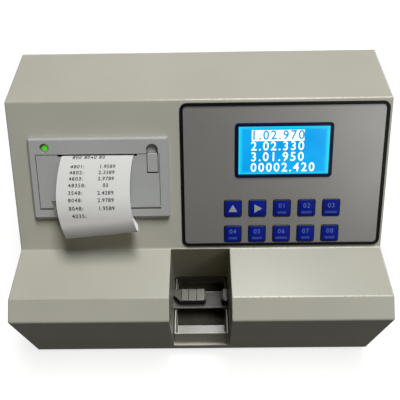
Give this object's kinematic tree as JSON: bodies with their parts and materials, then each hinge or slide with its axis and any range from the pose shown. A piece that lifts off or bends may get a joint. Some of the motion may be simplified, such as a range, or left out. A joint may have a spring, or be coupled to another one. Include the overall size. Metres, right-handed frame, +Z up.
{
  "type": "tablet hardness tester",
  "caption": "Bench tester that crushes a tablet between a driven jaw and a load cell jaw, with a sloping panel, display, keys, receipt printer and slide-out waste tray.",
  "frame": {"origin": "centre of the overall box, level with the undersides of the four feet", "axes": "+X to the operator's right along the case, +Y towards the back, +Z up; the test bay, display and keys face -Y"},
  "size_m": [0.3, 0.204, 0.1795],
  "materials": {
    "housing_paint": "fine orange-peel powder coat",
    "liner_paint": "satin paint",
    "zinc_sheet": "zinc plated",
    "rubber_black": "matte",
    "bright_screws": "bright plated",
    "printer_grey": "fine moulded",
    "printer_black": "moulded",
    "machined_aluminium": "milled",
    "nylon_white": "moulded",
    "thermal_paper": "smooth coated",
    "led_green": "clear lens, lit",
    "panel_silver": "satin printed film",
    "trim_black": "gloss",
    "lcd_navy": "satin",
    "lcd_window": "lit display",
    "module_black": "moulded",
    "board_green": "solder mask",
    "brass_parts": "turned",
    "machined_steel": "ground",
    "tray_steel": "brushed plate",
    "motor_black": "satin",
    "key_blue": "satin"
  },
  "bodies": {
    "root": {"main_cover": "housing_paint", "bay_liner": "liner_paint", "base_plate": "zinc_sheet", "rear_panel": "housing_paint", "rubber_feet": "rubber_black", "foot_screws": "bright_screws", "cover_screws": "bright_screws", "printer_bezel": "printer_grey", "hinge_pin": "bright_screws", "printer_case": "printer_black", "print_head": "machined_aluminium", "status_led": "led_green", "control_plate": "panel_silver", "panel_trim": "trim_black", "lcd_frame": "lcd_navy", "lcd_glass": "lcd_window", "lcd_module": "module_black", "key_board": "board_green", "key_switches": "module_black", "standoffs": "brass_parts", "main_board": "board_green", "power_supply": "zinc_sheet", "mains_inlet": "module_black", "inlet_pins": "brass_parts", "test_platform": "tray_steel", "fixed_jaw": "machined_steel", "mechanism_bed": "machined_aluminium", "stepper_motor": "motor_black", "motor_bracket": "zinc_sheet", "screw_bearing": "machined_steel", "rod_supports": "machined_aluminium", "guide_rods": "machined_steel", "limit_switches": "module_black", "load_cell": "machined_aluminium", "cell_bracket": "machined_aluminium"},
    "door": {"printer_door": "printer_grey", "paper_strip": "thermal_paper"},
    "lever": {"door_latch": "printer_grey"},
    "platen": {"platen_roller": "rubber_black", "platen_gear": "nylon_white"},
    "roll": {"paper_roll": "thermal_paper"},
    "jaw": {"moving_jaw": "machined_steel", "jaw_carriage": "machined_aluminium", "lead_nut": "brass_parts", "carriage_bushes": "machined_steel"},
    "screw": {"lead_screw": "machined_steel", "shaft_coupling": "machined_aluminium", "motor_shaft": "machined_steel"},
    "tray": {"waste_tray": "liner_paint"},
    "rocker": {"power_rocker": "module_black"},
    "button_1": {"key_1": "key_blue"},
    "button_2": {"key_2": "key_blue"},
    "button_3": {"key_3": "key_blue"},
    "button_4": {"key_4": "key_blue"},
    "button_5": {"key_5": "key_blue"},
    "button_6": {"key_6": "key_blue"},
    "button_7": {"key_7": "key_blue"},
    "button_8": {"key_8": "key_blue"},
    "button_9": {"key_9": "key_blue"},
    "button_10": {"key_10": "key_blue"}
  },
  "joints": [
    {"name": "door_hinge", "type": "hinge", "parent": "root", "child": "door", "pos_m": [-0.07945, -0.0209, 0.11966], "axis": [1, 0, 0], "range_deg": [0, 90], "deforming": ["paper_strip"]},
    {"name": "lever_lift", "type": "hinge", "parent": "door", "child": "lever", "pos_m": [-0.0365, -0.00108, 0.14138], "axis": [1, 0, 0], "range_deg": [0, 20], "stiffness_Nm_per_rad": 0.02, "springref_deg": -11.46},
    {"name": "roll_spin", "type": "hinge", "parent": "root", "child": "roll", "pos_m": [-0.0796, 0.01353, 0.11129], "axis": [1, 0, 0], "continuous": true},
    {"name": "platen_spin", "type": "hinge", "parent": "door", "child": "platen", "pos_m": [-0.0796, 0.0087, 0.14125], "axis": [1, 0, 0], "continuous": true},
    {"name": "jaw_slide", "type": "slide", "parent": "root", "child": "jaw", "axis": [1, 0, 0], "range_m": [-0.004, 0.0134]},
    {"name": "screw_spin", "type": "hinge", "parent": "root", "child": "screw", "pos_m": [-0.08, -0.06296, 0.04], "axis": [1, 0, 0], "range_deg": [-1210, 365]},
    {"name": "tray_slide", "type": "slide", "parent": "root", "child": "tray", "axis": [0, -1, 0], "range_m": [0, 0.062]},
    {"name": "rocker_tilt", "type": "hinge", "parent": "root", "child": "rocker", "pos_m": [0.108, 0.09504, 0.067], "axis": [-1, 0, 0], "range_deg": [0, 16]},
    {"name": "key_1_press", "type": "slide", "parent": "root", "child": "button_1", "axis": [0, 0.7478, -0.6639], "range_m": [0, 0.0006], "stiffness_N_per_m": 400, "springref_m": -0.0005},
    {"name": "key_2_press", "type": "slide", "parent": "root", "child": "button_2", "axis": [0, 0.7478, -0.6639], "range_m": [0, 0.0006], "stiffness_N_per_m": 400, "springref_m": -0.0005},
    {"name": "key_3_press", "type": "slide", "parent": "root", "child": "button_3", "axis": [0, 0.7478, -0.6639], "range_m": [0, 0.0006], "stiffness_N_per_m": 400, "springref_m": -0.0005},
    {"name": "key_4_press", "type": "slide", "parent": "root", "child": "button_4", "axis": [0, 0.7478, -0.6639], "range_m": [0, 0.0006], "stiffness_N_per_m": 400, "springref_m": -0.0005},
    {"name": "key_5_press", "type": "slide", "parent": "root", "child": "button_5", "axis": [0, 0.7478, -0.6639], "range_m": [0, 0.0006], "stiffness_N_per_m": 400, "springref_m": -0.0005},
    {"name": "key_6_press", "type": "slide", "parent": "root", "child": "button_6", "axis": [0, 0.7478, -0.6639], "range_m": [0, 0.0006], "stiffness_N_per_m": 400, "springref_m": -0.0005},
    {"name": "key_7_press", "type": "slide", "parent": "root", "child": "button_7", "axis": [0, 0.7478, -0.6639], "range_m": [0, 0.0006], "stiffness_N_per_m": 400, "springref_m": -0.0005},
    {"name": "key_8_press", "type": "slide", "parent": "root", "child": "button_8", "axis": [0, 0.7478, -0.6639], "range_m": [0, 0.0006], "stiffness_N_per_m": 400, "springref_m": -0.0005},
    {"name": "key_9_press", "type": "slide", "parent": "root", "child": "button_9", "axis": [0, 0.7478, -0.6639], "range_m": [0, 0.0006], "stiffness_N_per_m": 400, "springref_m": -0.0005},
    {"name": "key_10_press", "type": "slide", "parent": "root", "child": "button_10", "axis": [0, 0.7478, -0.6639], "range_m": [0, 0.0006], "stiffness_N_per_m": 400, "springref_m": -0.0005}
  ],
  "couplings": [
    {"joint": "screw_spin", "follows": "jaw_slide", "rad_per_m": -1570.8},
    {"joint": "platen_spin", "follows": "roll_spin", "ratio": -3.7778}
  ]
}
